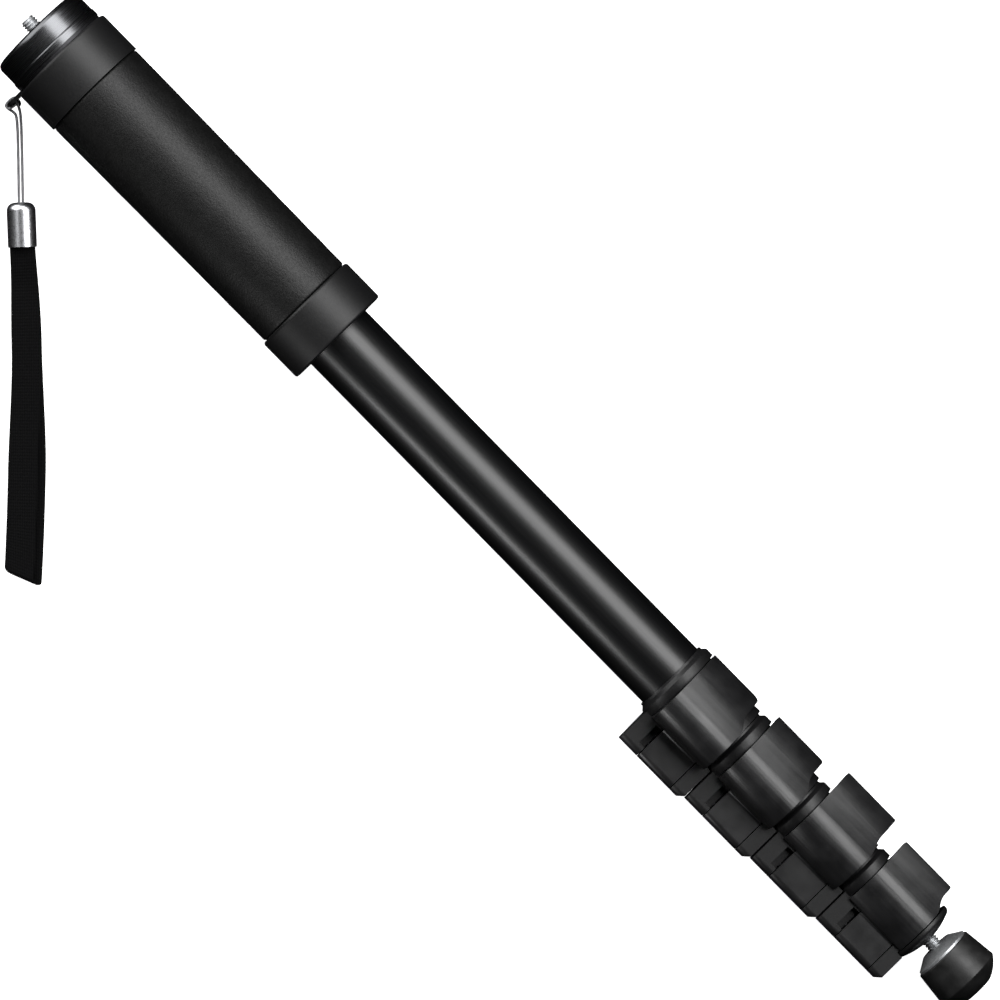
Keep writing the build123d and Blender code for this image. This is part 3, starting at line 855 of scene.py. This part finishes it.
def makeWebbing():
    lay = webbing
    heading = radians(ferrule["heading"])
    mouth = Vector((*ferrule["top"], floorHeight))
    mouth += Vector((cos(heading), sin(heading), 0)) * ferrule["length"]
    points = [mouth + point for point in bandPoints(bandPath())]
    around = lay["around"]
    faces = []
    for row in range(0, len(points) - around, around):
        for step in range(around):
            a, b = row + step, row + (step + 1) % around
            faces.append((a, b, b + around, a + around))
    faces.append(tuple(range(around - 1, -1, -1)))
    faces.append(tuple(range(len(points) - around, len(points))))
    piece = newPiece("wristWebbing", points, faces, "upper_leg", "wovenNylon")
    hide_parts("strap_webbing")


makeWebbing()
print("strap laid")

# Studio: pale floor with a far rise, one broad soft box, a strip, a card and a dim room
studio = {
    "floorReach": 12.0,
    "riseHeight": 6.0,
    "riseStep": 10,  # degrees
    "around": 64,
    "roomColour": "#ffffff",
    "roomLevel": 0.0025,
}
floorPaint = {"colour": "#ffffff", "roughness": 0.9, "glow": 0.95}
# Each box is tilted from straight up towards the levers' tips and swung from there towards the
# head, in degrees. Glow is its radiance, and x the place on the leg that it faces.
softBoxes = {
    "mainBox": {
        "tilt": -37,
        "swing": 0,
        "distance": 1.5,
        "length": 2.2,
        "width": 0.92,
        "glow": 5.5,
        "x": -0.26,
    },
    "sideStrip": {
        "tilt": 66,
        "swing": 0,
        "distance": 0.35,
        "length": 0.18,
        "width": 0.054,
        "glow": 9.5,
        "x": -0.262,
    },
    "headCard": {
        "tilt": 0,
        "swing": 62,
        "distance": 1.0,
        "length": 1.1,
        "width": 0.9,
        "glow": 2.6,
        "x": -0.26,
    },
}


def makeFloor():
    reach, rise, around = studio["floorReach"], studio["riseHeight"], studio["around"]
    points = [(0, 0, floorHeight)]
    for degrees in range(0, 91, studio["riseStep"]):
        bend = radians(degrees)
        radius, height = reach + rise * sin(bend), floorHeight + rise * (1 - cos(bend))
        for step in range(around):
            turn = 2 * pi * step / around
            points.append((radius * cos(turn), radius * sin(turn), height))
    faces = [(0, 1 + step, 1 + (step + 1) % around) for step in range(around)]
    for ring in range(1, len(points) - around, around):
        for step in range(around):
            a, b = ring + step, ring + (step + 1) % around
            faces.append((a, a + around, b + around, b))
    mesh = bpy.data.meshes.new("studioFloor")
    mesh.from_pydata(points, [], faces)
    mesh.shade_smooth()
    mesh.materials.append(startMaterial("floorPaint", floorPaint)[0])
    floor = bpy.data.objects.new("studioFloor", mesh)
    bpy.context.scene.collection.objects.link(floor)
    floor.visible_glossy = False
    floor.visible_diffuse = False


def makeLights():
    world = bpy.data.worlds.new("dimRoom")
    bpy.context.scene.world = world
    world.use_nodes = True
    background = world.node_tree.nodes["Background"]
    background.inputs["Color"].default_value = toLinear(studio["roomColour"])
    background.inputs["Strength"].default_value = studio["roomLevel"]
    for name, box in softBoxes.items():
        data = bpy.data.lights.new(name, "AREA")
        data.shape = "RECTANGLE"
        data.size = box["length"]
        data.size_y = box["width"]
        data.energy = box["glow"] * pi * box["length"] * box["width"]
        light = bpy.data.objects.new(name, data)
        bpy.context.scene.collection.objects.link(light)
        light.visible_camera = False
        swing = Matrix.Rotation(radians(box["swing"]), 4, "Y")
        lean = Matrix.Rotation(radians(-box["tilt"]), 4, "X")
        out = Matrix.Translation((0, 0, box["distance"]))
        light.matrix_world = Matrix.Translation((box["x"], 0, 0)) @ swing @ lean @ out


makeFloor()
makeLights()
bpy.context.scene.view_settings.view_transform = "Standard"
print("studio lit")
